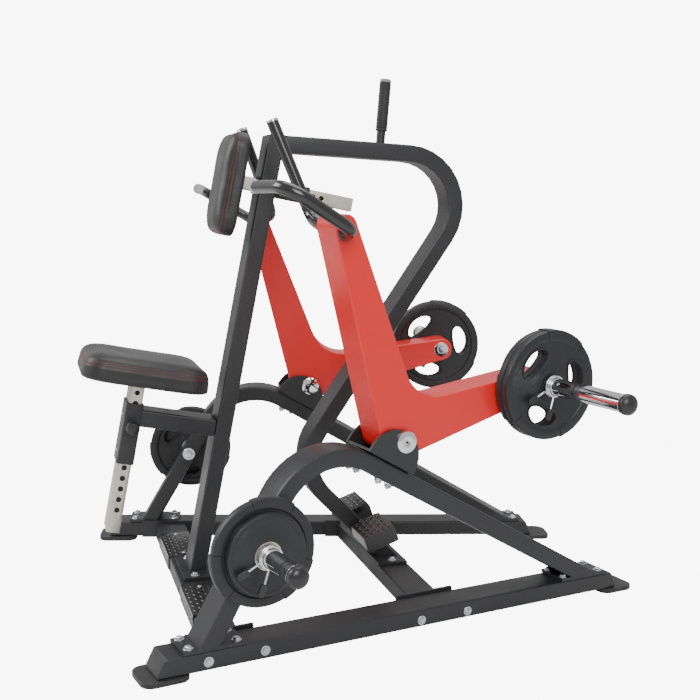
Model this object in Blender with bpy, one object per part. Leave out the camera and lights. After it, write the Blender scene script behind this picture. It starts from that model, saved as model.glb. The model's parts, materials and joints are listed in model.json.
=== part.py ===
"""Plate loaded seated row machine: two lever arms, seat, chest pad, frame and weight plates.

Metres, +Z up.  The user faces +X and sits on the centre plane Y = 0.  The two sides mirror each other.
"""
import math

import bmesh
import bpy
from mathutils import Matrix, Vector

# frame
X0 = 0.5115            # where both rail centre lines pass u = 0
Y0 = 0.325             # distance of that point from the centre plane
SPLAY = math.radians(12.0)
LEAN = math.radians(9.8)
FOOT_TOP = 0.0137
RAIL_BOTTOM = 0.014
RAIL_TOP = 0.064
HALF_WIDE = 0.050      # half of the wide side of the 100 x 50 tube
HALF_THIN = 0.025
CORNER = 0.007
GAP = 0.0003
RAIL_REAR = -1.239
RAIL_FRONT = 0.262

# arches
ARCH_ANGLE = math.radians(29.0)
ARCH_CORNER = (-0.810, 0.592)
ARCH_RADIUS = 0.190
ARCH_FOOT = 0.0743

# arms, all in (u, z) measured from the pivot
PIVOT = (-0.551, 0.556)
ARM_HALF = 0.054
ARM_CORNERS = (
    (-0.2316, 0.602, 0.031), (-0.1678, 0.602, 0.031), (0.041, 0.101, 0.110), (0.494, 0.1744, 0.033),
    (0.494, 0.1036, 0.033), (-0.0073, -0.0526, 0.045), (-0.0605, -0.0231, 0.045),
)
HORN = (-0.094, 0.687)
HORN_RADIUS = 0.025
STORE = (-0.9665, 0.309)

# centre frame, (x, z) before the shift XS
XS = 0.0115
POST_REAR = (-0.307, 1.378)
SEAT_AXIS = (-0.7065, 0.505)
PAD_AXIS = (-0.150, 1.199)
LOOP = ((-0.2607, 1.352), (0.4183, 1.3320), (-0.2053, 0.3788), (0.0972, 0.0763))
LOOP_RADIUS = 0.160
SEAT_PIN_AT = 0.0262   # along the seat axis
HOLE_PITCH = 0.032
HANDLE_RADIUS = 0.017

PALETTE = {
    "powder_black": ((0.035, 0.036, 0.039, 1.0), 0.0, 0.45),
    "powder_red": ((0.62, 0.022, 0.016, 1.0), 0.0, 0.28),
    "gloss_black": ((0.010, 0.010, 0.011, 1.0), 0.0, 0.15),
    "plated_cream": ((0.72, 0.67, 0.55, 1.0), 0.8, 0.32),
    "chrome": ((0.85, 0.86, 0.88, 1.0), 1.0, 0.10),
    "rubber": ((0.022, 0.022, 0.024, 1.0), 0.0, 0.70),
    "plate_rubber": ((0.028, 0.029, 0.032, 1.0), 0.0, 0.55),
    "vinyl": ((0.018, 0.018, 0.019, 1.0), 0.0, 0.45),
    "tread": ((0.030, 0.030, 0.032, 1.0), 0.3, 0.30),
    "knob_black": ((0.015, 0.015, 0.016, 1.0), 0.0, 0.35),
}


def clear_scene():
    for old in list(bpy.data.objects):
        bpy.data.objects.remove(old, do_unlink=True)
    for old in list(bpy.data.meshes):
        bpy.data.meshes.remove(old)


def material_for(node, slot):
    color, metallic, roughness = PALETTE[slot]
    mat = bpy.data.materials.new(slot + "." + node)
    mat.use_nodes = True
    shader = mat.node_tree.nodes["Principled BSDF"]
    shader.inputs["Base Color"].default_value = color
    shader.inputs["Metallic"].default_value = metallic
    shader.inputs["Roughness"].default_value = roughness
    mat.diffuse_color = color
    return mat


def finish_mesh(name, bm, slot, smooth=35.0):
    """Make one object out of a bmesh, with sharp edges kept sharp and the rest smooth."""
    bmesh.ops.remove_doubles(bm, verts=bm.verts, dist=1e-6)
    bmesh.ops.recalc_face_normals(bm, faces=bm.faces)
    mesh = bpy.data.meshes.new(name)
    bm.to_mesh(mesh)
    bm.free()
    obj = bpy.data.objects.new(name, mesh)
    bpy.context.scene.collection.objects.link(obj)
    obj.data.materials.append(material_for(name, slot))
    shade(obj, smooth)
    return obj


def shade(obj, smooth=35.0):
    obj.data.shade_smooth()
    obj.data.set_sharp_from_angle(angle=math.radians(smooth))


def bake(obj):
    """Apply every modifier on an object."""
    depsgraph = bpy.context.evaluated_depsgraph_get()
    mesh = bpy.data.meshes.new_from_object(obj.evaluated_get(depsgraph))
    old = obj.data
    obj.modifiers.clear()
    obj.data = mesh
    mesh.name = obj.name
    bpy.data.meshes.remove(old)
    shade(obj)


def combine(obj, tool, operation):
    mod = obj.modifiers.new("boolean", "BOOLEAN")
    mod.operation = operation
    mod.solver = "EXACT"
    mod.object = tool
    bpy.context.view_layer.update()
    bake(obj)
    bpy.data.objects.remove(tool, do_unlink=True)
    return obj


def cut(obj, tool):
    return combine(obj, tool, "DIFFERENCE")


def fuse(obj, tool):
    return combine(obj, tool, "UNION")


def round_edges(obj, width, segments=2):
    mod = obj.modifiers.new("bevel", "BEVEL")
    mod.width = width
    mod.segments = segments
    mod.limit_method = "ANGLE"
    mod.angle_limit = math.radians(40.0)
    bpy.context.view_layer.update()
    bake(obj)
    return obj


def set_origin(obj, point):
    point = Vector(point)
    obj.data.transform(Matrix.Translation(-point))
    obj.location = point
    return obj


def mirrored(obj, name):
    """The left hand copy of a right hand piece."""
    mesh = obj.data.copy()
    mesh.transform(Matrix.Translation(obj.location))
    mesh.transform(Matrix.Scale(-1.0, 4, (0.0, 1.0, 0.0)))
    mesh.flip_normals()
    mesh.name = name
    copy = bpy.data.objects.new(name, mesh)
    bpy.context.scene.collection.objects.link(copy)
    slot = obj.data.materials[0].name.split(".")[0]
    mesh.materials.clear()
    mesh.materials.append(material_for(name, slot))
    place = Vector((obj.location.x, -obj.location.y, obj.location.z))
    return set_origin(copy, place)


def side_point(u, n, z):
    """A point of the right hand rail plane: u forward along the rail, n outward, z up."""
    return Vector((
        X0 + u * math.cos(SPLAY) + n * math.sin(SPLAY),
        -Y0 + u * math.sin(SPLAY) - n * math.cos(SPLAY),
        z,
    ))


def side_frame(u, n, z):
    """Local axes at a point of the rail plane: x forward, y up, z outward."""
    ahead = Vector((math.cos(SPLAY), math.sin(SPLAY), 0.0))
    up = Vector((0.0, 0.0, 1.0))
    return frame(side_point(u, n, z), ahead, up)


def frame(origin, axis_x, axis_y):
    axis_x = Vector(axis_x).normalized()
    axis_y = (Vector(axis_y) - axis_x * axis_x.dot(Vector(axis_y))).normalized()
    axis_z = axis_x.cross(axis_y)
    matrix = Matrix((axis_x, axis_y, axis_z)).transposed().to_4x4()
    matrix.translation = Vector(origin)
    return matrix


def centre(x, y, z):
    return Vector((x + XS, y, z))


def leaning_frame(x, z, y=0.0):
    """Axes that lean with the post: x across it and forward, y up along it, z to the right."""
    ahead = Vector((math.cos(LEAN), 0.0, -math.sin(LEAN)))
    along = Vector((math.sin(LEAN), 0.0, math.cos(LEAN)))
    return frame(centre(x, y, z), ahead, along)


def rounded_outline(corners, steps=4):
    """Replace each (x, y, radius) corner of a polygon with an arc."""
    points = []
    count = len(corners)
    for i, (x, y, radius) in enumerate(corners):
        here = Vector((x, y))
        before = Vector(corners[i - 1][:2]) - here
        after = Vector(corners[(i + 1) % count][:2]) - here
        if radius <= 0.0:
            points.append(here)
            continue
        before.normalize()
        after.normalize()
        half = 0.5 * before.angle(after)
        reach = radius / math.tan(half)
        middle = here + (before + after).normalized() * (radius / math.sin(half))
        start = here + before * reach - middle
        end = here + after * reach - middle
        turn = start.angle_signed(end)
        for k in range(steps + 1):
            angle = -turn * k / steps
            rotated = Vector((
                start.x * math.cos(angle) - start.y * math.sin(angle),
                start.x * math.sin(angle) + start.y * math.cos(angle),
            ))
            points.append(middle + rotated)
    return points


def rectangle(half_x, half_y, radius, steps=2):
    corners = ((half_x, half_y), (-half_x, half_y), (-half_x, -half_y), (half_x, -half_y))
    return rounded_outline([(x, y, radius) for x, y in corners], steps)


def circle(radius, count=20, middle=(0.0, 0.0)):
    angles = [2.0 * math.pi * k / count for k in range(count)]
    return [Vector((middle[0] + radius * math.cos(a), middle[1] + radius * math.sin(a))) for a in angles]


def prism(name, outline, matrix, low, high, slot, hole=None):
    """Extrude a 2-D outline, with an optional hole of the same point count, from low to high."""
    bm = bmesh.new()

    def ring(points, height):
        return [bm.verts.new(matrix @ Vector((p[0], p[1], height))) for p in points]

    bottom, top = ring(outline, low), ring(outline, high)
    count = len(outline)
    for i in range(count):
        j = (i + 1) % count
        bm.faces.new((bottom[i], bottom[j], top[j], top[i]))
    if hole is None:
        bm.faces.new(bottom)
        bm.faces.new(top)
    else:
        inner_bottom, inner_top = ring(hole, low), ring(hole, high)
        for i in range(count):
            j = (i + 1) % count
            bm.faces.new((inner_bottom[i], inner_bottom[j], inner_top[j], inner_top[i]))
            bm.faces.new((bottom[i], bottom[j], inner_bottom[j], inner_bottom[i]))
            bm.faces.new((top[i], top[j], inner_top[j], inner_top[i]))
    return finish_mesh(name, bm, slot)


def box(name, matrix, size, slot):
    half = [0.5 * s for s in size]
    outline = [(half[0], half[1]), (-half[0], half[1]), (-half[0], -half[1]), (half[0], -half[1])]
    return prism(name, outline, matrix, -half[2], half[2], slot)


def lathe(name, profile, matrix, slot, count=24):
    """Turn (radius, height) points about the local z axis; end points on the axis close the body."""
    bm = bmesh.new()
    rings = []
    for radius, height in profile:
        if radius <= 1e-6:
            rings.append([bm.verts.new(matrix @ Vector((0.0, 0.0, height)))])
            continue
        rings.append([
            bm.verts.new(matrix @ Vector((p.x, p.y, height))) for p in circle(radius, count)
        ])
    closed = len(rings[0]) > 1
    pairs = list(zip(rings, rings[1:]))
    if closed:
        pairs.append((rings[-1], rings[0]))
    for low, high in pairs:
        for i in range(count):
            j = (i + 1) % count
            quad = [low[i % len(low)], low[j % len(low)], high[j % len(high)], high[i % len(high)]]
            unique = list(dict.fromkeys(quad))
            if len(unique) > 2:
                bm.faces.new(unique)
    return finish_mesh(name, bm, slot)


def bent_path(corners, radius, steps=8):
    """Points along a 3-D polyline whose inner corners are replaced with arcs."""
    corners = [Vector(c) for c in corners]
    points = [corners[0]]
    for before, here, after in zip(corners, corners[1:], corners[2:]):
        back = (before - here).normalized()
        ahead = (after - here).normalized()
        half = 0.5 * back.angle(ahead)
        reach = radius / math.tan(half)
        middle = here + (back + ahead).normalized() * (radius / math.sin(half))
        start = here + back * reach - middle
        end = here + ahead * reach - middle
        turn = start.angle(end)
        for k in range(steps + 1):
            part = turn * k / steps
            swung = start * math.sin(turn - part) + end * math.sin(part)
            points.append(middle + swung / math.sin(turn))
    points.append(corners[-1])
    return points


def sweep(name, path, outline, side, slot, ends=(None, None)):
    """Carry a 2-D outline along a path; outline x follows side, outline y the other way across."""
    bm = bmesh.new()
    side = Vector(side).normalized()
    rings = []
    last = len(path) - 1
    across = side
    for i, point in enumerate(path):
        before = (point - path[i - 1]).normalized() if i > 0 else (path[1] - point).normalized()
        after = (path[i + 1] - point).normalized() if i < last else before
        tangent = (before + after).normalized()
        stretch = 1.0 / max(0.2, before.dot(tangent))
        across = (across - tangent * across.dot(tangent)).normalized()
        other = tangent.cross(across)
        ring = []
        bend = after - before
        for p in outline:
            offset = across * p[0] + other * p[1]
            if bend.length > 1e-6:
                way = bend.normalized()
                way = (way - tangent * way.dot(tangent)).normalized()
                offset += way * offset.dot(way) * (stretch - 1.0)
            ring.append(point + offset)
        rings.append(ring)
    for index, height, tangent in ((0, ends[0], path[1] - path[0]), (last, ends[1], path[-1] - path[-2])):
        if height is not None:
            rings[index] = [p + tangent * ((height - p.z) / tangent.z) for p in rings[index]]
    loops = [[bm.verts.new(p) for p in ring] for ring in rings]
    count = len(outline)
    for low, high in zip(loops, loops[1:]):
        for i in range(count):
            j = (i + 1) % count
            bm.faces.new((low[i], low[j], high[j], high[i]))
    bm.faces.new(loops[0])
    bm.faces.new(loops[-1])
    return finish_mesh(name, bm, slot)


def round_tube(name, path, radius, slot, count=14):
    """Carry a circle along a path."""
    bm = bmesh.new()
    across = None
    rings = []
    for i, point in enumerate(path):
        before = point - path[i - 1] if i > 0 else path[1] - point
        after = path[i + 1] - point if i < len(path) - 1 else before
        tangent = (before.normalized() + after.normalized()).normalized()
        if across is None:
            across = tangent.orthogonal().normalized()
        across = (across - tangent * across.dot(tangent)).normalized()
        other = tangent.cross(across)
        rings.append([bm.verts.new(point + across * p.x + other * p.y) for p in circle(radius, count)])
    for low, high in zip(rings, rings[1:]):
        for i in range(count):
            j = (i + 1) % count
            bm.faces.new((low[i], low[j], high[j], high[i]))
    bm.faces.new(rings[0])
    bm.faces.new(rings[-1])
    return finish_mesh(name, bm, slot, 60.0)


def build_base():
    side_view = [
        (RAIL_REAR, RAIL_BOTTOM), (RAIL_FRONT, RAIL_BOTTOM),
        (RAIL_FRONT - 0.022, RAIL_TOP), (RAIL_REAR + 0.025, RAIL_TOP),
    ]
    rail = prism("right_base_rail", side_view, side_frame(0, 0, 0), -HALF_WIDE, HALF_WIDE, "powder_black")
    round_edges(rail, 0.006)
    mirrored(rail, "left_base_rail")
    for place, low, high in (("rear", RAIL_REAR - 0.036, RAIL_REAR + 0.092), ("front", 0.205, 0.330)):
        middle = side_point(0.5 * (low + high), 0.0, 0.0)
        ahead = (math.cos(SPLAY), math.sin(SPLAY), 0.0)
        level = frame(middle, ahead, (-math.sin(SPLAY), math.cos(SPLAY), 0.0))
        outline = rectangle(0.5 * (high - low), 0.059, 0.030, 4)
        foot = prism("right_" + place + "_foot", outline, level, 0.0, FOOT_TOP, "rubber")
        mirrored(foot, "left_" + place + "_foot")
    cross_member("rear_cross_member", -0.519, -1.031)
    cross_member("front_cross_member", 0.101, -0.392)
    tread_cover()


def cross_member(name, x, flange_u):
    """A flat tube between the rails, welded to a bolting flange at each end."""
    middle = x + XS
    inner = -HALF_WIDE - 0.0103
    ends = []
    for edge in (middle - HALF_WIDE, middle + HALF_WIDE):
        u = (edge - X0 - inner * math.sin(SPLAY)) / math.cos(SPLAY)
        ends.append((edge, side_point(u, inner, 0.0).y - 0.0012))
    outline = [ends[0], ends[1], (ends[1][0], -ends[1][1]), (ends[0][0], -ends[0][1])]
    obj = prism(name, outline, Matrix(), RAIL_BOTTOM, RAIL_TOP, "powder_black")
    round_edges(obj, 0.005, 2)
    for sign in (1.0, -1.0):
        matrix = side_frame(flange_u, inner + 0.005, 0.5 * (RAIL_BOTTOM + 0.072))
        if sign < 0.0:
            flip = Matrix.Scale(-1.0, 4, (0.0, 1.0, 0.0))
            matrix = flip @ matrix
        flange = box("flange", matrix, (0.190, 0.072 - RAIL_BOTTOM, 0.010), "powder_black")
        fuse(obj, flange)
    return obj


def tread_cover():
    """Bent sheet covers over the top and the rear face of the rear cross member."""
    x_rear = -0.569 + XS
    x_front = -0.469 + XS
    top = RAIL_TOP + GAP
    sheet = 0.003
    outline = [
        (x_rear - GAP - sheet, 0.022), (x_rear - GAP, 0.022), (x_rear - GAP, top), (x_front - 0.004, top),
        (x_front - 0.004, top + sheet), (x_rear - GAP - sheet, top + sheet),
    ]
    matrix = frame((0.0, 0.0, 0.0), (1.0, 0.0, 0.0), (0.0, 0.0, 1.0))
    cover = prism("right_tread_cover", outline, matrix, 0.128, 0.366, "tread")
    mirrored(cover, "left_tread_cover")


def post_point(z, across=HALF_THIN):
    x = POST_REAR[0] - math.tan(LEAN) * (POST_REAR[1] - z) + across / math.cos(LEAN)
    return centre(x, 0.0, z)


def build_centre():
    tube = rectangle(HALF_WIDE, HALF_THIN, CORNER)
    path = [post_point(0.070), post_point(POST_REAR[1])]
    post = sweep("main_post", path, tube, (0, 1, 0), "powder_black", (0.070, POST_REAR[1]))
    foot = post_point(0.0692)
    plate_z = RAIL_TOP + GAP + 0.005
    plate = frame((foot.x, 0.0, plate_z), (1.0, 0.0, 0.0), (0.0, 1.0, 0.0))
    fuse(post, box("plate", plate, (0.096, 0.200, 0.010), "powder_black"))
    opening = leaning_frame(*PAD_AXIS)
    opening.translation = opening @ Vector((-0.170, 0.0, 0.0))
    cut(post, box("opening", opening, (0.300, 0.0506, 0.0506), "powder_black"))

    strut_z = 0.5295
    strut_x = -0.560
    length_rear = -0.1195
    post_face = post_point(strut_z, 0.0)
    length_front = (post_face.x - GAP - (strut_x + XS)) * math.cos(LEAN)
    bar = leaning_frame(strut_x, strut_z)
    bar.translation = bar @ Vector((0.5 * (length_rear + length_front), 0.0, 0.0))
    sleeve = prism(
        "seat_strut", rectangle(HALF_THIN, HALF_WIDE, 0.006), sleeve_frame(), -0.0905, 0.0905, "powder_black",
        rectangle(0.0205, 0.0455, 0.004),
    )
    strut = box("strut", bar, (length_front - length_rear, 0.050, 0.100), "powder_black")
    round_edges(strut, 0.006)
    trim = prism("trim", rectangle(0.0215, 0.0465, 0.004), sleeve_frame(), -0.2, 0.2, "powder_black")
    cut(strut, trim)
    fuse(sleeve, strut)
    pin_boss(sleeve, seat_pin_frame(), 0.0500, 0.0450)

    loop = [centre(x, 0.0, z) for x, z in LOOP]
    tube_loop = sweep(
        "centre_loop", bent_path(loop, LOOP_RADIUS, 10), tube, (0, 1, 0), "powder_black", (None, 0.070),
    )
    face = post_point(1.352, 2.0 * HALF_THIN)
    trim = leaning_frame(0.0, 0.0)
    trim.translation = Vector((face.x + GAP, 0.0, 1.352)) + trim.to_3x3() @ Vector((-0.050, 0.0, 0.0))
    cut(tube_loop, box("trim", trim, (0.100, 0.200, 0.200), "powder_black"))
    end = loop[-1]
    plate = frame((end.x, 0.0, plate_z), (1.0, 0.0, 0.0), (0.0, 1.0, 0.0))
    fuse(tube_loop, box("plate", plate, (0.096, 0.210, 0.010), "powder_black"))

    tilt = math.radians(3.5)
    up = Vector((math.sin(tilt), 0.0, math.cos(tilt)))
    base = centre(0.0500, 0.0, 1.3680)
    stand = frame(base, (0.0, 1.0, 0.0), Vector((0.0, 1.0, 0.0)).cross(up) * -1.0)
    lathe(
        "stabiliser_stub", [(0.0, GAP), (0.0135, GAP), (0.0135, 0.150), (0.0, 0.150)], stand, "powder_black", 16,
    )
    lathe("stabiliser_grip", [
        (0.0138, 0.038), (0.0190, 0.038), (0.0195, 0.042), (0.0160, 0.047), (0.0160, 0.176),
        (0.0175, 0.181), (0.0170, 0.189), (0.0140, 0.193), (0.0, 0.194), (0.0, 0.1503), (0.0138, 0.1503),
    ], stand, "rubber", 16)


def sleeve_frame():
    """x forward, y to the side, z up along the leaning seat post."""
    along = Vector((math.sin(LEAN), 0.0, math.cos(LEAN)))
    ahead = Vector((math.cos(LEAN), 0.0, -math.sin(LEAN)))
    return frame(centre(SEAT_AXIS[0], 0.0, SEAT_AXIS[1]), ahead, along.cross(ahead))


def on_seat_axis(distance):
    along = Vector((math.sin(LEAN), 0.0, math.cos(LEAN)))
    return centre(SEAT_AXIS[0], 0.0, SEAT_AXIS[1]) + along * distance


def seat_pin_frame():
    """Local z points out to the right, through the side of the sleeve."""
    return frame(on_seat_axis(SEAT_PIN_AT), (1.0, 0.0, 0.0), (0.0, 0.0, 1.0))


def pad_pin_frame():
    return frame(on_pad_axis(-0.118), (1.0, 0.0, 0.0), (0.0, 0.0, 1.0))


def on_pad_axis(distance):
    ahead = Vector((math.cos(LEAN), 0.0, -math.sin(LEAN)))
    return centre(PAD_AXIS[0], 0.0, PAD_AXIS[1]) + ahead * distance


def pin_boss(obj, matrix, outside, inside):
    """Weld a threaded boss on a sleeve wall and drill it for the pin."""
    fuse(obj, lathe(
        "boss", [(0.0, inside + 0.001), (0.0115, inside + 0.001), (0.0115, outside + 0.018), (0.0, outside + 0.018)],
        matrix, "powder_black", 16,
    ))
    cut(obj, lathe(
        "drill", [(0.0, inside - 0.020), (0.0063, inside - 0.020), (0.0063, outside + 0.030), (0.0, outside + 0.030)],
        matrix, "powder_black", 16,
    ))


def pull_pin(name, matrix, outside, tip, slot):
    """A spring plunger: shaft and mushroom knob turned as one piece."""
    start = outside + 0.0186
    pin = lathe(name, [
        (0.0, tip), (0.0045, tip), (0.0060, tip + 0.002), (0.0060, start), (0.0130, start),
        (0.0135, start + 0.006), (0.0185, start + 0.010), (0.0190, start + 0.024), (0.0165, start + 0.029),
        (0.0, start + 0.031),
    ], matrix, slot, 16)
    return set_origin(pin, matrix @ Vector((0.0, 0.0, outside)))


def build_seat():
    matrix = sleeve_frame()
    low, high = -0.298, 0.1500
    post = prism(
        "seat_post", rectangle(0.020, 0.045, 0.005), matrix, low, high, "plated_cream",
        rectangle(0.017, 0.042, 0.003),
    )
    for k in range(11):
        distance = SEAT_PIN_AT + (k - 8) * HOLE_PITCH
        drill = seat_pin_frame()
        drill.translation = on_seat_axis(distance)
        cut(post, lathe("drill", [(0.0, 0.038), (0.008, 0.038), (0.008, 0.050), (0.0, 0.050)], drill, "plated_cream", 10))
    set_origin(post, on_seat_axis(0.0))
    plate = prism(
        "seat_plate", rectangle(0.110, 0.090, 0.012), seat_frame(), -0.0062, -GAP, "powder_black",
    )
    set_origin(plate, on_seat_axis(0.0))
    cushion = cushion_block("seat_cushion", seat_frame(), 0.187, 0.170, 0.065, 0.076, seat=True)
    set_origin(cushion, on_seat_axis(0.0))
    pull_pin("seat_pin", seat_pin_frame(), 0.0500, 0.0460, "knob_black")


def seat_frame():
    """Axes on the underside of the seat cushion: x forward, y to the left, z up."""
    along = Vector((math.sin(LEAN), 0.0, math.cos(LEAN)))
    ahead = Vector((math.cos(LEAN), 0.0, -math.sin(LEAN)))
    origin = on_seat_axis(0.1565)
    return frame(origin, ahead, along.cross(ahead))


def cushion_block(name, matrix, half_x, half_y, corner, height, seat=False):
    """A padded block: flat underside, soft upper edge, gently crowned top."""
    shift = 0.0105 if seat else 0.0
    levels = (
        (0.0, -0.006), (0.006, -0.001), (0.016, 0.0), (height - 0.024, 0.0), (height - 0.012, -0.004),
        (height - 0.004, -0.012), (height, -0.026),
    )
    bm = bmesh.new()
    rings = []
    for z, inset in levels:
        outline = rectangle(half_x + inset, half_y + inset, corner + inset, 4)
        rings.append([bm.verts.new(matrix @ Vector((p.x + shift, p.y, z))) for p in outline])
    count = len(rings[0])
    for low, high in zip(rings, rings[1:]):
        for i in range(count):
            j = (i + 1) % count
            bm.faces.new((low[i], low[j], high[j], high[i]))
    bm.faces.new(rings[0])
    bm.faces.new(rings[-1])
    return finish_mesh(name, bm, "vinyl", 50.0)


def build_chest_pad():
    along = Vector((math.sin(LEAN), 0.0, math.cos(LEAN)))
    axis = frame(on_pad_axis(0.0), (0.0, 1.0, 0.0), along)
    sleeve = prism(
        "pad_sleeve", rectangle(0.025, 0.025, 0.004), axis, -0.195, -0.028, "powder_black",
        rectangle(0.0206, 0.0206, 0.003),
    )
    pin_boss(sleeve, pad_pin_frame(), 0.0250, 0.0206)
    tube = prism(
        "pad_tube", rectangle(0.020, 0.020, 0.003), axis, -0.2305, 0.112, "plated_cream",
        rectangle(0.0175, 0.0175, 0.002),
    )
    for k in range(7):
        drill = pad_pin_frame()
        drill.translation = on_pad_axis(-0.118 + 0.026 * (k - 1))
        cut(tube, lathe("drill", [(0.0, 0.014), (0.0075, 0.014), (0.0075, 0.026), (0.0, 0.026)], drill, "plated_cream", 10))
    set_origin(tube, on_pad_axis(0.0))
    pull_pin("pad_pin", pad_pin_frame(), 0.0250, 0.0210, "knob_black")
    mount = frame(on_pad_axis(-0.2310 - 0.004), (0.0, 1.0, 0.0), along)
    bracket = box("pad_bracket", mount, (0.080, 0.150, 0.008), "powder_black")
    rim = frame(on_pad_axis(-0.2310 - 0.0085), (0.0, 1.0, 0.0), along)
    fuse(bracket, box("rim", rim, (0.100, 0.170, 0.006), "powder_black"))
    set_origin(bracket, on_pad_axis(0.0))
    face = frame(on_pad_axis(-0.2310 - 0.0118) - along * 0.012, (0.0, -1.0, 0.0), along)
    pad = cushion_block("chest_pad", face, 0.110, 0.155, 0.045, 0.066)
    set_origin(pad, on_pad_axis(0.0))


def build_foot_pegs():
    tilt = math.radians(20.0)
    place = centre(0.027, 0.0, 0.181)
    ahead = Vector((math.cos(tilt), 0.0, math.sin(tilt)))
    matrix = frame(place, ahead, (-math.sin(tilt), 0.0, math.cos(tilt)))
    outline = rectangle(0.0500, 0.0240, 0.005)
    near = HALF_WIDE + GAP
    peg = prism("right_foot_peg", outline, matrix, near, 0.194, "powder_black")
    cover = [
        (-0.0530, -0.014), (-0.0490, -0.014), (-0.0490, 0.0230), (0.0470, 0.0230), (0.0470, 0.0270),
        (-0.0530, 0.0270),
    ]
    fuse(peg, prism("tread", cover, matrix, near + 0.002, 0.196, "powder_black"))
    mirrored(peg, "left_foot_peg")


def build_arch():
    tube = rectangle(HALF_WIDE, HALF_THIN, CORNER)
    cu, cz = ARCH_CORNER
    lean = math.tan(ARCH_ANGLE)
    drop = cz - ARCH_FOOT
    corners = [
        side_point(cu - drop * lean, 0.0, ARCH_FOOT),
        side_point(cu, 0.0, cz),
        side_point(cu + drop / lean, 0.0, ARCH_FOOT),
    ]
    outward = side_point(0, 1, 0) - side_point(0, 0, 0)
    path = bent_path(corners, ARCH_RADIUS, 12)
    arch = sweep("right_arch", path, tube, outward, "powder_black", (0.070, 0.070))
    for low, high in ((-1.170, -1.000), (0.040, 0.215)):
        matrix = side_frame(0.5 * (low + high), 0.0, RAIL_TOP + GAP + 0.005)
        fuse(arch, box("plate", matrix, (high - low, 0.010, 0.099), "powder_black"))
    mirrored(arch, "left_arch")

    slope = ARCH_ANGLE
    down = Vector((math.cos(slope), -math.sin(slope)))
    up = Vector((math.sin(slope), math.cos(slope)))
    pivot = Vector(PIVOT)
    corner = Vector(ARCH_CORNER)
    surface = corner + up * (HALF_THIN + GAP)
    height = (pivot - surface).dot(up)
    along = (pivot - surface).dot(down)
    origin = surface + down * along
    matrix = frame(
        side_point(origin.x, 0.0, origin.y),
        side_point(origin.x + down.x, 0.0, origin.y + down.y) - side_point(origin.x, 0.0, origin.y),
        side_point(origin.x + up.x, 0.0, origin.y + up.y) - side_point(origin.x, 0.0, origin.y),
    )
    ear = [(-0.088, 0.0), (0.072, 0.0)]
    for k in range(1, 14):
        angle = math.pi * k / 14
        ear.append((-0.008 + 0.080 * math.cos(angle), 0.0935 * math.sin(angle) ** 0.85))
    bracket = prism("right_pivot_bracket", ear, matrix, 0.0566, 0.0666, "powder_black")
    fuse(bracket, prism("ear", ear, matrix, -0.0666, -0.0566, "powder_black"))
    floor = [(-0.086, 0.0005), (0.070, 0.0005), (0.070, 0.008), (-0.086, 0.008)]
    fuse(bracket, prism("floor", floor, matrix, -0.0600, 0.0600, "powder_black"))
    bore = circle(0.0178, 20, (0.0, height))
    cut(bracket, prism("bore", bore, matrix, -0.1, 0.1, "powder_black"))
    mirrored(bracket, "left_pivot_bracket")
    stop = [(0.046, 0.0083), (0.070, 0.0083), (0.070, 0.0245), (0.046, 0.0200)]
    buffer = prism("right_stop_buffer", stop, matrix, -0.0450, 0.0450, "rubber")
    mirrored(buffer, "left_stop_buffer")

    shaft = lathe("right_pivot_shaft", [
        (0.0, -0.0795), (0.0200, -0.0795), (0.0290, -0.0765), (0.0310, -0.0720), (0.0310, -0.0669),
        (0.0175, -0.0669), (0.0175, 0.0669), (0.0310, 0.0669), (0.0310, 0.0740), (0.0290, 0.0785),
        (0.0200, 0.0805), (0.0, 0.0805),
    ], side_frame(PIVOT[0], 0.0, PIVOT[1]), "chrome", 20)
    mirrored(shaft, "left_pivot_shaft")


def horn_cap(name, u, z, n):
    """A rounded end cap pushed on the end of a plate horn."""
    matrix = side_frame(u, n, z)
    profile = [(0.0, GAP), (0.0272, GAP)]
    for k in range(1, 4):
        angle = 0.5 * math.pi * k / 3
        profile.append((0.0285 * math.cos(angle) if k < 3 else 0.0, 0.012 + 0.0170 * math.sin(angle)))
    profile.insert(2, (0.0285, 0.004))
    profile.insert(3, (0.0285, 0.012))
    return lathe(name, profile, matrix, "rubber", 20)


def build_storage():
    u, z = STORE
    horn = lathe("right_storage_horn", [
        (0.0, HALF_WIDE + GAP), (HORN_RADIUS, HALF_WIDE + GAP), (HORN_RADIUS, 0.258), (0.0, 0.258),
    ], side_frame(u, 0.0, z), "chrome")
    mirrored(horn, "left_storage_horn")
    mirrored(horn_cap("right_storage_cap", u, z, 0.258), "left_storage_cap")
    large = grip_plate("right_stored_large_plate", 0.145, 0.026, u, z, 0.0540, math.radians(20.0))
    small = disc_plate("right_stored_small_plate", 0.1080, 0.021, u, z, 0.0804)
    collar = spring_collar("right_store_collar", u, z, 0.1025)
    for obj in (large, small, collar):
        mirrored(obj, obj.name.replace("right_", "left_"))


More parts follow.
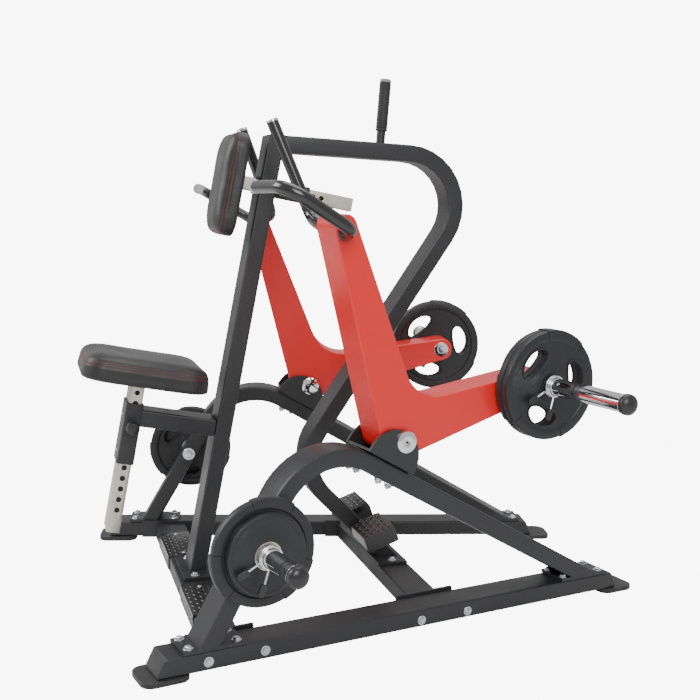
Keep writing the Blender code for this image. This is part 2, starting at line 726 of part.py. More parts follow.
def grip_plate(name, radius, thick, u, z, n, turn):
    """A rubber covered weight plate with three hand openings."""
    rim = radius - 0.030
    hub = 0.044
    matrix = side_frame(u, 0.0, z)
    low, high = n, n + thick
    step = 0.004
    bore = HORN_RADIUS + 0.0008
    plate = lathe(name, [
        (bore, low), (radius - 0.004, low), (radius, low + 0.004), (radius, high - 0.004),
        (radius - 0.004, high), (rim + 0.002, high), (rim, high - step), (hub + 0.002, high - step),
        (hub, high), (bore, high),
    ], matrix, "plate_rubber", 28)
    middle = 0.5 * (rim + hub + 0.004) + 0.006
    half = 0.5 * (rim - hub - 0.004) - 0.010
    spread = math.radians(31.0)
    for k in range(3):
        start = turn + k * 2.0 * math.pi / 3.0
        outline = []
        for sign, edge in ((1.0, 1.0), (-1.0, -1.0)):
            for i in range(5):
                angle = start + sign * spread * (i / 2.0 - 1.0)
                reach = middle + edge * half * (1.0 if edge > 0 else 0.72)
                outline.append((reach * math.cos(angle), reach * math.sin(angle)))
            end = start + sign * spread
            for i in range(1, 3):
                swing = math.pi * i / 3
                reach = middle + edge * half * (1.0 if edge > 0 else 0.72)
                other = middle - edge * half * (0.72 if edge > 0 else 1.0)
                mid = 0.5 * (reach + other)
                size = 0.5 * (reach - other)
                out = mid + size * math.cos(swing)
                side = abs(size) * math.sin(swing) * sign
                outline.append((
                    out * math.cos(end) - side * math.sin(end), out * math.sin(end) + side * math.cos(end),
                ))
        cut(plate, prism("opening", outline, matrix, low - 0.01, high + 0.01, "plate_rubber"))
    return set_origin(plate, side_point(u, low, z))


def disc_plate(name, radius, thick, u, z, n):
    matrix = side_frame(u, 0.0, z)
    low, high = n, n + thick
    bore = HORN_RADIUS + 0.0008
    plate = lathe(name, [
        (bore, low), (radius - 0.004, low), (radius, low + 0.004), (radius, high - 0.004),
        (radius - 0.004, high), (bore, high),
    ], matrix, "plate_rubber", 28)
    return set_origin(plate, side_point(u, low, z))


def spring_collar(name, u, z, n):
    """One bent wire: a coil round the horn and two squeeze ends."""
    matrix = side_frame(u, 0.0, z)
    wire = 0.0032
    coil = HORN_RADIUS + wire + 0.0010
    turns = 2.17
    first = math.radians(205.0)
    steps = 32
    points = []
    for k in range(steps + 1):
        angle = first + turns * 2.0 * math.pi * k / steps
        height = n + wire + 0.0003 + 0.0072 * turns * k / steps
        points.append(Vector((coil * math.cos(angle), coil * math.sin(angle), height)))
    last = first + turns * 2.0 * math.pi
    for index, angle, sign in ((0, first, -1.0), (len(points), last, 1.0)):
        along = Vector((-math.sin(angle), math.cos(angle), 0.0)) * sign
        outward = Vector((math.cos(angle), math.sin(angle), 0.0))
        base = points[0] if sign < 0 else points[-1]
        tip = base + along * 0.050 + outward * 0.020
        bend = base + along * 0.010 + outward * 0.002
        ends = [tip, bend] if sign < 0 else [bend, tip]
        points = ends + points if sign < 0 else points + ends
    collar = round_tube(name, [matrix @ p for p in points], wire, "chrome", 6)
    return set_origin(collar, side_point(u, n, z))


def build_arm():
    pivot = side_point(PIVOT[0], 0.0, PIVOT[1])
    matrix = side_frame(PIVOT[0], 0.0, PIVOT[1])
    arm = prism("right_arm", rounded_outline(ARM_CORNERS, 5), matrix, -ARM_HALF, ARM_HALF, "powder_red")
    round_edges(arm, 0.004, 1)
    cut(arm, prism("bore", circle(0.0178, 20), matrix, -0.1, 0.1, "powder_red"))
    set_origin(arm, pivot)
    mirrored(arm, "left_arm")
    u, z = HORN
    horn = lathe("right_arm_horn", [
        (0.0, ARM_HALF + GAP), (0.0345, ARM_HALF + GAP), (0.0345, ARM_HALF + 0.0035),
        (HORN_RADIUS, ARM_HALF + 0.0035), (HORN_RADIUS, 0.405), (0.0, 0.405),
    ], side_frame(u, 0.0, z), "chrome")
    cap = horn_cap("right_arm_cap", u, z, 0.405)
    inner = grip_plate("right_arm_inner_plate", 0.160, 0.026, u, z, 0.0580, math.radians(12.0))
    outer = grip_plate("right_arm_outer_plate", 0.160, 0.026, u, z, 0.0844, math.radians(12.0))
    collar = spring_collar("right_arm_collar", u, z, 0.1112)
    set_origin_to(horn, pivot)
    set_origin_to(cap, pivot)
    for obj in (horn, cap, inner, outer, collar):
        mirrored(obj, obj.name.replace("right_", "left_"))
    build_handles(pivot)


def set_origin_to(obj, point):
    """Move the origin of an object that already has one, leaving the body where it is."""
    offset = Vector(point) - obj.location
    obj.data.transform(Matrix.Translation(-offset))
    obj.location = Vector(point)
    return obj


def build_handles(pivot):
    """Cross grip round the back of the arm, and an upright grip on its inner side."""
    outer = [
        side_point(-0.744, ARM_HALF + GAP, 1.110), side_point(-0.744, 0.118, 1.110),
        side_point(-0.938, 0.118, 1.220), side_point(-0.938, -0.070, 1.220),
    ]
    inner = [
        side_point(-0.755, -0.030, 1.120), side_point(-0.692, -0.235, 1.140),
        side_point(-0.795, -0.289, 1.408),
    ]
    for name, corners, radius in (("cross_grip", outer, 0.056), ("upright_grip", inner, 0.050)):
        path = bent_path(corners, radius, 6)
        grip = round_tube("right_" + name, path, HANDLE_RADIUS, "gloss_black")
        if name == "upright_grip":
            inside = 2.0 * (ARM_HALF + GAP)
            cut(grip, box("trim", side_frame(-0.747, 0.0, 1.120), (0.3, 0.3, inside), "gloss_black"))
        set_origin(grip, pivot)
        mirrored(grip, "left_" + name)


clear_scene()
build_base()
build_centre()
build_seat()
build_chest_pad()
build_foot_pegs()
build_arch()
build_storage()
build_arm()
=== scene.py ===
import bpy
import bmesh
import json
import math
from mathutils import Matrix, Vector
from mathutils.bvhtree import BVHTree


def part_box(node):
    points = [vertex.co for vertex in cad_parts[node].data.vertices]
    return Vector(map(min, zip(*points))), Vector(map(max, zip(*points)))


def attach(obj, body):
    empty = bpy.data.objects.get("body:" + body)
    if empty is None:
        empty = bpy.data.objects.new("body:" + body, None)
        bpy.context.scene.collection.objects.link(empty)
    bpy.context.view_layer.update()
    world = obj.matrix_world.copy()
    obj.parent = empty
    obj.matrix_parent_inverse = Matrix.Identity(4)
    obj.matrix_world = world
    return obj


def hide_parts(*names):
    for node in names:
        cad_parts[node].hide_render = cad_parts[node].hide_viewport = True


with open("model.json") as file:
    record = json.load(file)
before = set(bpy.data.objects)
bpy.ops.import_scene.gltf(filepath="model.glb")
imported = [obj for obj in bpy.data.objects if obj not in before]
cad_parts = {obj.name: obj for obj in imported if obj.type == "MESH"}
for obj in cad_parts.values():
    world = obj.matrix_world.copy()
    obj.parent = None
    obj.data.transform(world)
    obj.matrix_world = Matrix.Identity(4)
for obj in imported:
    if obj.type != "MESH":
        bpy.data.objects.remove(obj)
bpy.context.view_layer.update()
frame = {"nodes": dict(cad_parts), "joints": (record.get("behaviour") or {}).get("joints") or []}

UP = Vector((0.0, 0.0, 1.0))
JOINTS = {joint["name"]: joint for joint in frame["joints"]}

# sizes shared with the frame, in metres
HALF_RAIL = 0.050
RAIL_TOP = 0.064
HORN_RADIUS = 0.025
ARM_HALF = 0.054
HANDLE_RADIUS = 0.017
PIVOT_BORE = 0.0190
TREAD_PITCH = 0.0165
COLLAR_LIFT = 0.0032
PLATE_TURN = math.radians(12.0)
STORED_TURN = math.radians(20.0)
SEEN_WHITE = 8.5
SPREAD_PASSES = 60
ARM_CORNERS = (
    (-0.2316, 0.602, 0.031), (-0.1678, 0.602, 0.031), (0.041, 0.101, 0.110), (0.494, 0.1744, 0.033),
    (0.494, 0.1036, 0.033), (-0.0073, -0.0526, 0.045), (-0.0605, -0.0231, 0.045),
)
# handle corners from the lever pivot: forward, up, outward
CROSS_GRIP = (
    (-0.193, 0.554, 0.0543), (-0.193, 0.554, 0.118), (-0.387, 0.664, 0.118), (-0.387, 0.664, -0.070),
)
UPRIGHT_GRIP = ((-0.200, 0.564, -0.046), (-0.141, 0.584, -0.235), (-0.244, 0.852, -0.289))


# ---------------------------------------------------------------- frames of reference

class Side:
    """Local axes of one rail plane: x forward, y up, z outward.  Origin on the lever pivot."""

    def __init__(self, name):
        self.name = name
        self.pivot = Vector(JOINTS[name + "_lever_pivot"]["pos_m"])
        self.out = Vector(JOINTS[name + "_arm_plates_slide"]["axis"]).normalized()
        ahead = UP.cross(self.out)
        self.ahead = ahead if ahead.x > 0.0 else -ahead

    def place(self, origin):
        matrix = Matrix((self.ahead, UP, self.out)).transposed().to_4x4()
        matrix.translation = origin
        return matrix

    def at_pivot(self):
        return self.place(self.pivot)

    def point(self, ahead, up, out):
        return self.pivot + self.ahead * ahead + UP * up + self.out * out

    def local(self, point):
        offset = Vector(point) - self.pivot
        return Vector((offset.dot(self.ahead), offset.z, offset.dot(self.out)))

    def disc(self, node):
        """Centre of the inner face, thickness and radius of a round node that lies across the side."""
        low, high = (Vector(corner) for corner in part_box(self.name + node))
        radius = 0.5 * (high.z - low.z)
        half = 0.5 * (high.y - low.y) - radius * abs(self.out.x)
        length = 2.0 * half / abs(self.out.y)
        return 0.5 * (low + high) - self.out * (0.5 * length), length, radius


RIGHT, LEFT = Side("right"), Side("left")
SIDES = (RIGHT, LEFT)


def middle(node):
    low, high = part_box(node)
    return 0.5 * (Vector(low) + Vector(high))


def axes(origin, across, along):
    """A frame with x on across, y on along as far as it can be, z square to both."""
    x = Vector(across).normalized()
    y = (Vector(along) - x * x.dot(Vector(along))).normalized()
    matrix = Matrix((x, y, x.cross(y))).transposed().to_4x4()
    matrix.translation = origin
    return matrix


# ---------------------------------------------------------------- materials

def shader_of(name, color, roughness, metallic=0.0, **sockets):
    mat = bpy.data.materials.new(name)
    mat.use_nodes = True
    shader = mat.node_tree.nodes["Principled BSDF"]
    shader.inputs["Base Color"].default_value = (*color, 1.0)
    shader.inputs["Roughness"].default_value = roughness
    shader.inputs["Metallic"].default_value = metallic
    for socket, value in sockets.items():
        shader.inputs[socket.replace("_", " ")].default_value = value
    mat.diffuse_color = (*color, 1.0)
    return mat, mat.node_tree, shader


def texture(tree, kind, scale, **sockets):
    """A procedural texture in object space."""
    where = tree.nodes.new("ShaderNodeTexCoord")
    node = tree.nodes.new(kind)
    tree.links.new(where.outputs["Object"], node.inputs["Vector"])
    node.inputs["Scale"].default_value = scale
    for socket, value in sockets.items():
        node.inputs[socket].default_value = value
    return node


def ramp(tree, source, low, high, first, last):
    """Map a 0..1 output to a range of greys or colours."""
    node = tree.nodes.new("ShaderNodeValToRGB")
    node.color_ramp.elements[0].position = low
    node.color_ramp.elements[1].position = high
    node.color_ramp.elements[0].color = (*first, 1.0)
    node.color_ramp.elements[1].color = (*last, 1.0)
    tree.links.new(source, node.inputs["Fac"])
    return node.outputs["Color"]


def add_bump(tree, shader, height, strength, distance):
    bump = tree.nodes.new("ShaderNodeBump")
    bump.inputs["Strength"].default_value = strength
    bump.inputs["Distance"].default_value = distance
    tree.links.new(height, bump.inputs["Height"])
    previous = shader.inputs["Normal"]
    if previous.is_linked:
        tree.links.new(previous.links[0].from_socket, bump.inputs["Normal"])
    tree.links.new(bump.outputs["Normal"], previous)


def vary_roughness(tree, shader, scale, low, high):
    noise = texture(tree, "ShaderNodeTexNoise", scale, Detail=4.0)
    grey = ramp(tree, noise.outputs["Fac"], 0.35, 0.7, (low,) * 3, (high,) * 3)
    tree.links.new(grey, shader.inputs["Roughness"])


def vary_color(tree, shader, scale, first, last):
    noise = texture(tree, "ShaderNodeTexNoise", scale, Detail=5.0)
    tree.links.new(ramp(tree, noise.outputs["Fac"], 0.3, 0.7, first, last), shader.inputs["Base Color"])


def powder_coat(name, dark, light, roughness, coat):
    mat, tree, shader = shader_of(name, light, roughness, Coat_Weight=coat, Coat_Roughness=0.25)
    vary_color(tree, shader, 5.0, dark, light)
    vary_roughness(tree, shader, 9.0, roughness - 0.05, roughness + 0.07)
    peel = texture(tree, "ShaderNodeTexNoise", 1400.0, Detail=2.0)
    add_bump(tree, shader, peel.outputs["Fac"], 0.16, 0.0004)
    return mat


def plated(name, color, roughness, grain):
    """Bright metal with faint drawn lines and smudges."""
    mat, tree, shader = shader_of(name, color, roughness, 1.0)
    vary_roughness(tree, shader, 30.0, roughness * 0.8, roughness * 1.4)
    lines = texture(tree, "ShaderNodeTexNoise", grain, Detail=2.0)
    add_bump(tree, shader, lines.outputs["Fac"], 0.04, 0.0002)
    return mat


def moulded_rubber(name, color, roughness):
    mat, tree, shader = shader_of(name, color, roughness, Sheen_Weight=0.08, Sheen_Roughness=0.5)
    vary_color(tree, shader, 14.0, tuple(0.82 * c for c in color), tuple(1.15 * c for c in color))
    vary_roughness(tree, shader, 18.0, roughness - 0.07, roughness + 0.08)
    pores = texture(tree, "ShaderNodeTexNoise", 900.0, Detail=3.0)
    add_bump(tree, shader, pores.outputs["Fac"], 0.22, 0.0004)
    return mat


def leather_look():
    mat, tree, shader = shader_of(
        "black vinyl", (0.016, 0.016, 0.017), 0.42, Sheen_Weight=0.05, Sheen_Roughness=0.4,
    )
    vary_color(tree, shader, 8.0, (0.012, 0.012, 0.013), (0.022, 0.022, 0.023))
    vary_roughness(tree, shader, 12.0, 0.36, 0.50)
    grain = texture(tree, "ShaderNodeTexVoronoi", 620.0)
    add_bump(tree, shader, grain.outputs["Distance"], 0.28, 0.0004)
    folds = texture(tree, "ShaderNodeTexNoise", 70.0, Detail=3.0)
    add_bump(tree, shader, folds.outputs["Fac"], 0.10, 0.0015)
    return mat


def ribbed_grip():
    """Matte grip with fine ribs along it."""
    mat, tree, shader = shader_of("ribbed grip", (0.020, 0.020, 0.021), 0.60)
    vary_roughness(tree, shader, 20.0, 0.52, 0.68)
    pores = texture(tree, "ShaderNodeTexNoise", 1100.0, Detail=2.0)
    add_bump(tree, shader, pores.outputs["Fac"], 0.25, 0.0004)
    return mat


MATERIALS = {
    "powder_black": powder_coat(
        "black powder coat", (0.017, 0.018, 0.020), (0.023, 0.024, 0.026), 0.42, 0.10,
    ),
    "powder_red": powder_coat("red powder coat", (0.74, 0.016, 0.013), (0.76, 0.018, 0.015), 0.32, 0.18),
    "gloss_black": powder_coat("gloss black", (0.006, 0.006, 0.007), (0.010, 0.010, 0.011), 0.14, 0.6),
    "plated_cream": plated("satin plating", (0.66, 0.63, 0.55), 0.34, 600.0),
    "chrome": plated("polished chrome", (0.86, 0.87, 0.89), 0.06, 900.0),
    "zinc": plated("bright zinc", (0.70, 0.73, 0.76), 0.24, 900.0),
    "rubber": moulded_rubber("foot rubber", (0.022, 0.022, 0.024), 0.58),
    "cap_rubber": moulded_rubber("cap rubber", (0.020, 0.020, 0.022), 0.26),
    "plate_rubber": moulded_rubber("plate rubber", (0.014, 0.015, 0.017), 0.44),
    "vinyl": leather_look(),
    "grip": ribbed_grip(),
    "tread": powder_coat("tread plate", (0.012, 0.012, 0.013), (0.020, 0.020, 0.022), 0.22, 0.5),
    "knob_black": powder_coat("knob plastic", (0.010, 0.010, 0.011), (0.016, 0.016, 0.017), 0.28, 0.2),
    "thread": moulded_rubber("red thread", (0.33, 0.022, 0.018), 0.62),
    # painted shade: near-black rubber laid over holes and recesses to stand for the shade inside them
    "dark": moulded_rubber("painted recess shade", (0.008, 0.008, 0.008), 0.75),
    "cap_grey": moulded_rubber("grey cap", (0.30, 0.30, 0.30), 0.35),
}


# ---------------------------------------------------------------- mesh helpers

def finish(name, bm, slot, body, sharp=32.0):
    """Turn a bmesh into a piece that rides on a body."""
    bmesh.ops.recalc_face_normals(bm, faces=bm.faces)
    mesh = bpy.data.meshes.new(name)
    bm.to_mesh(mesh)
    bm.free()
    obj = bpy.data.objects.new(name, mesh)
    bpy.context.scene.collection.objects.link(obj)
    mesh.materials.append(MATERIALS[slot])
    mesh.shade_smooth()
    mesh.set_sharp_from_angle(angle=math.radians(sharp))
    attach(obj, body)
    return obj


def circle(radius, count):
    return [(radius * math.cos(2.0 * math.pi * k / count), radius * math.sin(2.0 * math.pi * k / count))
            for k in range(count)]


def add_lathe(bm, matrix, profile, count=64):
    """Turn (radius, height) points about local z.  Ends on the axis close it, otherwise it joins up."""
    rings = []
    for radius, height in profile:
        if radius < 1e-6:
            rings.append([bm.verts.new(matrix @ Vector((0.0, 0.0, height)))])
        else:
            rings.append([bm.verts.new(matrix @ Vector((x, y, height))) for x, y in circle(radius, count)])
    pairs = list(zip(rings, rings[1:]))
    if len(rings[0]) > 1 and len(rings[-1]) > 1:
        pairs.append((rings[-1], rings[0]))
    for low, high in pairs:
        for i in range(count):
            j = (i + 1) % count
            quad = (low[i % len(low)], low[j % len(low)], high[j % len(high)], high[i % len(high)])
            corners = list(dict.fromkeys(quad))
            if len(corners) > 2:
                bm.faces.new(corners)


def add_prism(bm, matrix, outline, low, high):
    bottom = [bm.verts.new(matrix @ Vector((x, y, low))) for x, y in outline]
    top = [bm.verts.new(matrix @ Vector((x, y, high))) for x, y in outline]
    for i in range(len(outline)):
        j = (i + 1) % len(outline)
        bm.faces.new((bottom[i], bottom[j], top[j], top[i]))
    bm.faces.new(bottom)
    bm.faces.new(top)


def add_tube(bm, path, radius, count=20):
    """Carry a circle along a list of points and cap both ends."""
    across = None
    rings = []
    for i, point in enumerate(path):
        before = point - path[i - 1] if i > 0 else path[1] - point
        after = path[i + 1] - point if i < len(path) - 1 else before
        tangent = (before.normalized() + after.normalized()).normalized()
        across = tangent.orthogonal().normalized() if across is None else across
        across = (across - tangent * across.dot(tangent)).normalized()
        other = tangent.cross(across)
        rings.append([bm.verts.new(point + across * x + other * y) for x, y in circle(radius, count)])
    for low, high in zip(rings, rings[1:]):
        for i in range(count):
            j = (i + 1) % count
            bm.faces.new((low[i], low[j], high[j], high[i]))
    bm.faces.new(rings[0])
    bm.faces.new(rings[-1])


def lathe(name, matrix, profile, slot, body, count=64, sharp=32.0):
    bm = bmesh.new()
    add_lathe(bm, matrix, profile, count)
    return finish(name, bm, slot, body, sharp)


def bent_path(corners, radius, steps=14):
    corners = [Vector(c) for c in corners]
    points = [corners[0]]
    for before, here, after in zip(corners, corners[1:], corners[2:]):
        back = (before - here).normalized()
        ahead = (after - here).normalized()
        half = 0.5 * back.angle(ahead)
        reach = radius / math.tan(half)
        centre = here + (back + ahead).normalized() * (radius / math.sin(half))
        start = here + back * reach - centre
        end = here + ahead * reach - centre
        turn = start.angle(end)
        for k in range(steps + 1):
            part = turn * k / steps
            swung = start * math.sin(turn - part) + end * math.sin(part)
            points.append(centre + swung / math.sin(turn))
    points.append(corners[-1])
    return points


def rounded_outline(corners, steps=10):
    flat = [Vector((x, y, 0.0)) for x, y, radius in corners]
    points = []
    for i, (x, y, radius) in enumerate(corners):
        if radius <= 0.0:
            points.append((x, y))
            continue
        arc = bent_path((flat[i - 1], flat[i], flat[(i + 1) % len(flat)]), radius, steps)[1:-1]
        points.extend((p.x, p.y) for p in arc)
    return points


def rectangle(half_x, half_y, radius, steps=6):
    signs = ((1, 1), (-1, 1), (-1, -1), (1, -1))
    return rounded_outline([(sx * half_x, sy * half_y, radius) for sx, sy in signs], steps)


def round_edges(obj, width, segments=3, angle=40.0):
    mod = obj.modifiers.new("edges", "BEVEL")
    mod.width = width
    mod.segments = segments
    mod.limit_method = "ANGLE"
    mod.angle_limit = math.radians(angle)
    flat = obj.modifiers.new("flat faces", "WEIGHTED_NORMAL")
    flat.weight = 100


def apply_modifiers(obj):
    depsgraph = bpy.context.evaluated_depsgraph_get()
    mesh = bpy.data.meshes.new_from_object(obj.evaluated_get(depsgraph))
    obj.modifiers.clear()
    obj.data = mesh
    return obj


# ---------------------------------------------------------------- fasteners

def add_bolt(bm, matrix, across=0.0095, high=0.0085, washer=0.0135):
    """Hexagon head on a washer, standing on the local xy plane."""
    rim = [(0.0, 0.0), (washer, 0.0), (washer, 0.0016), (washer - 0.0006, 0.0022), (0.0, 0.0022)]
    add_lathe(bm, matrix, rim, 28)
    hexagon = circle(across, 6)
    low = [bm.verts.new(matrix @ Vector((x, y, 0.0022))) for x, y in hexagon]
    high_ring = [bm.verts.new(matrix @ Vector((x, y, high - 0.0012))) for x, y in hexagon]
    top = [bm.verts.new(matrix @ Vector((0.80 * x, 0.80 * y, high))) for x, y in hexagon]
    for first, second in ((low, high_ring), (high_ring, top)):
        for i in range(6):
            j = (i + 1) % 6
            bm.faces.new((first[i], first[j], second[j], second[i]))
    bm.faces.new(low)
    bm.faces.new(top)


def add_nut(bm, matrix, across=0.0105, high=0.010):
    add_bolt(bm, matrix, across, high, 0.0145)
    add_lathe(bm, matrix, [(0.0, high), (0.0055, high), (0.0055, high + 0.004), (0.0, high + 0.005)], 20)


def add_screw(bm, matrix, radius=0.0065):
    dome = [(0.0, 0.0), (radius, 0.0), (0.85 * radius, 0.0022), (0.45 * radius, 0.0032), (0.0, 0.0034)]
    add_lathe(bm, matrix, dome, 24)


def build_fasteners():
    for side in SIDES:
        floor = side.pivot.z
        across = -side.local(middle(side.name + "_base_rail")).z
        bm = bmesh.new()
        face = side.place(Vector())
        for ahead, height in ((-0.552, 0.038), (-0.396, 0.038), (0.084, 0.034), (0.241, 0.034)):
            face.translation = side.point(ahead, height - floor, HALF_RAIL - across)
            add_bolt(bm, face)
        lying = axes(Vector(), side.ahead, -side.out)
        if lying.col[2][2] < 0.0:
            lying = axes(Vector(), side.ahead, side.out)
        for ahead in (-0.600, -0.470, 0.605, 0.744):
            for out in (-0.033, 0.033):
                lying.translation = side.point(ahead, RAIL_TOP + 0.0104 - floor, out - across)
                add_bolt(bm, lying)
        finish(side.name + "_rail_bolts", bm, "zinc", "frame", 25.0)

        slope = math.radians(29.0)
        down = side.ahead * -math.sin(slope) - UP * math.cos(slope)
        under = axes(Vector(), side.out, side.out.cross(down))
        if under.col[2].xyz.dot(down) < 0.0:
            under = axes(Vector(), side.out, down.cross(side.out))
        bm = bmesh.new()
        for ahead, out in ((-0.149, 0.028), (-0.058, 0.028), (-0.095, -0.028), (0.008, -0.028)):
            rise = (-0.259 - ahead) * math.tan(slope) + 0.036 - 0.0258 / math.cos(slope)
            under.translation = side.point(ahead, rise, out)
            add_nut(bm, under)
        finish(side.name + "_bracket_nuts", bm, "zinc", "frame", 25.0)

        bm = bmesh.new()
        start = side.disc("_storage_horn")[0]
        inner = axes(start - side.out * (2.0 * HALF_RAIL + 0.001), side.ahead, UP)
        if inner.col[2].xyz.dot(side.out) > 0.0:
            inner = axes(inner.translation, side.ahead, -UP)
        add_bolt(bm, inner, 0.013, 0.012, 0.021)
        finish(side.name + "_horn_bolt", bm, "zinc", "frame", 25.0)

        bm = bmesh.new()
        start = side.disc("_arm_inner_plate")[0]
        hole = side.local(start)
        inner.translation = side.point(hole.x, hole.y, -ARM_HALF - 0.0002)
        add_bolt(bm, inner, 0.014, 0.013, 0.0245)
        finish(side.name + "_arm_horn_bolt", bm, "chrome", side.name + "_lever", 25.0)

    bm = bmesh.new()
    post, loop = middle("rear_cross_member").x, middle("front_cross_member").x
    top = RAIL_TOP + 0.0104
    for x, spread in ((post, 0.078), (loop - 0.004, 0.083)):
        for y in (-spread, spread):
            add_bolt(bm, Matrix.Translation((x, y, top)))
    for y in (-0.345, -0.155, 0.155, 0.345):
        add_screw(bm, Matrix.Translation((post, y, RAIL_TOP + 0.0034)))
    finish("centre_bolts", bm, "zinc", "frame", 25.0)


# ---------------------------------------------------------------- plates and horns

def opening_outline(radius, angle, count=52):
    """One oval hand opening bent round the hub, within the longer opening of the frame's plate."""
    reach = 0.5 * (radius + 0.018) + 0.003
    half_long, half_wide = 0.335 * radius, 0.5 * (radius - 0.078) - 0.0125
    points = []
    for k in range(count):
        t = 2.0 * math.pi * k / count
        swing = angle + half_long * math.cos(t) / reach
        out = reach + half_wide * math.sin(t)
        points.append((out * math.cos(swing), out * math.sin(swing)))
    return points


def plate_heights(radius, turn, step_in):
    """Angles with their outer radius and rim seams: rim sectors between the openings stand a little proud."""
    rows = []
    span = math.radians(25.0)
    seam = math.radians(0.7)
    for k in range(3):
        proud = turn + math.pi / 3.0 + k * 2.0 * math.pi / 3.0
        for i in range(13):
            rows.append((proud - span + 2.0 * span * i / 12, radius, 0.0))
        rows.append((proud + span + 0.25 * seam, radius - step_in, 0.0018))
        rows.append((proud + span + seam, radius - step_in, 0.0018))
        rest = 2.0 * math.pi / 3.0 - 2.0 * span - 2.5 * seam
        for i in range(19):
            rows.append((proud + span + 1.25 * seam + rest * i / 18, radius - step_in, 0.0))
        rows.append((proud + 2.0 * math.pi / 3.0 - span - seam, radius - step_in, 0.0018))
        rows.append((proud + 2.0 * math.pi / 3.0 - span - 0.25 * seam, radius - step_in, 0.0018))
    return rows


def plate_mesh(name, radius, thick, turn):
    """A rubber covered grip plate, its axis on z from 0 to thick."""
    bore = HORN_RADIUS + 0.0008
    hub = 0.043
    rim = radius - 0.030
    web = 0.0042
    rows = plate_heights(radius, turn, 0.0035)
    bm = bmesh.new()
    columns = []
    for angle, outer, seam in rows:
        top, base = thick - seam, seam
        profile = (
            (bore, 0.0), (hub, 0.0), (hub + 0.003, web), (rim - 0.002, web), (rim + 0.002, base + 0.0006),
            (rim + 0.005, base), (outer - 0.006, base), (outer - 0.0018, 0.0018 + base),
            (outer, 0.006 + base),
            (outer, top - 0.006), (outer - 0.0018, top - 0.0018), (outer - 0.006, top), (rim + 0.005, top),
            (rim + 0.002, top - 0.0006), (rim - 0.002, thick - web), (hub + 0.003, thick - web),
            (hub, thick), (bore, thick),
        )
        columns.append([bm.verts.new((r * math.cos(angle), r * math.sin(angle), z)) for r, z in profile])
    count = len(columns[0])
    for i, column in enumerate(columns):
        other = columns[(i + 1) % len(columns)]
        for j in range(count):
            k = (j + 1) % count
            bm.faces.new((column[j], other[j], other[k], column[k]))
    bmesh.ops.recalc_face_normals(bm, faces=bm.faces)
    mesh = bpy.data.meshes.new(name)
    bm.to_mesh(mesh)
    bm.free()
    plate = bpy.data.objects.new(name, mesh)
    bpy.context.scene.collection.objects.link(plate)
    cutters = bmesh.new()
    for k in range(3):
        outline = opening_outline(radius, turn + k * 2.0 * math.pi / 3.0)
        add_prism(cutters, Matrix(), outline, -0.01, thick + 0.01)
    bmesh.ops.recalc_face_normals(cutters, faces=cutters.faces)
    tool_mesh = bpy.data.meshes.new("tool")
    cutters.to_mesh(tool_mesh)
    cutters.free()
    tool = bpy.data.objects.new("tool", tool_mesh)
    bpy.context.scene.collection.objects.link(tool)
    mod = plate.modifiers.new("openings", "BOOLEAN")
    mod.operation = "DIFFERENCE"
    mod.solver = "EXACT"
    mod.object = tool
    bpy.context.view_layer.update()
    apply_modifiers(plate)
    bpy.data.objects.remove(tool, do_unlink=True)
    mesh = plate.data
    bpy.data.objects.remove(plate, do_unlink=True)
    bm = bmesh.new()
    bm.from_mesh(mesh)
    for k in range(3):
        outline = opening_outline(radius, turn + k * 2.0 * math.pi / 3.0)
        for height in (web - 0.0008, thick - web + 0.0008):
            path = [Vector((x, y, height)) for x, y in outline]
            add_ring(bm, path, 0.0026)
    bm.to_mesh(mesh)
    bm.free()
    return mesh


def add_ring(bm, path, radius, count=8):
    """A closed round bead along a loop of points."""
    rings = []
    total = len(path)
    for i, point in enumerate(path):
        tangent = (path[(i + 1) % total] - path[i - 1]).normalized()
        across = tangent.cross(UP).normalized()
        rings.append([bm.verts.new(point + across * x + UP * y) for x, y in circle(radius, count)])
    for i, low in enumerate(rings):
        high = rings[(i + 1) % total]
        for a in range(count):
            b = (a + 1) % count
            bm.faces.new((low[a], low[b], high[b], high[a]))


def placed_plate(node, mesh, side, body):
    start, length = side.disc("_" + node)[:2]
    bm = bmesh.new()
    bm.from_mesh(mesh)
    bmesh.ops.transform(bm, matrix=side.place(start), verts=bm.verts)
    plate = finish(side.name + "_" + node + "_rubber", bm, "plate_rubber", body, 28.0)
    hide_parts(side.name + "_" + node)
    ring = [
        (HORN_RADIUS + 0.0010, length - 0.004), (0.0330, length - 0.004), (0.0330, length + 0.0002),
        (0.0315, length + 0.0010), (HORN_RADIUS + 0.0025, length + 0.0010), (HORN_RADIUS + 0.0010, length),
    ]
    lathe(side.name + "_" + node + "_ring", side.place(start), ring, "plated_cream", body)


def build_disc(side):
    start, thick, radius = side.disc("_stored_small_plate")
    bore = HORN_RADIUS + 0.0008
    profile = [
        (bore, 0.0), (radius - 0.004, 0.0), (radius - 0.001, 0.001), (radius, 0.004), (radius, thick - 0.006),
        (radius - 0.0015, thick - 0.002), (radius - 0.006, thick), (radius - 0.010, thick),
        (radius - 0.013, thick - 0.0022), (0.050, thick - 0.0022), (0.046, thick), (bore, thick),
    ]
    body = side.name + "_stored_plates"
    disc = lathe(side.name + "_small_disc", side.place(start), profile, "plate_rubber", body, 128)
    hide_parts(side.name + "_stored_small_plate")
    inner, under, over = bore + 0.0002, thick - 0.004, thick + 0.0006
    ring = [(inner, under), (0.037, under), (0.037, over), (inner, over)]
    lathe(side.name + "_small_disc_ring", side.place(start), ring, "plated_cream", body)


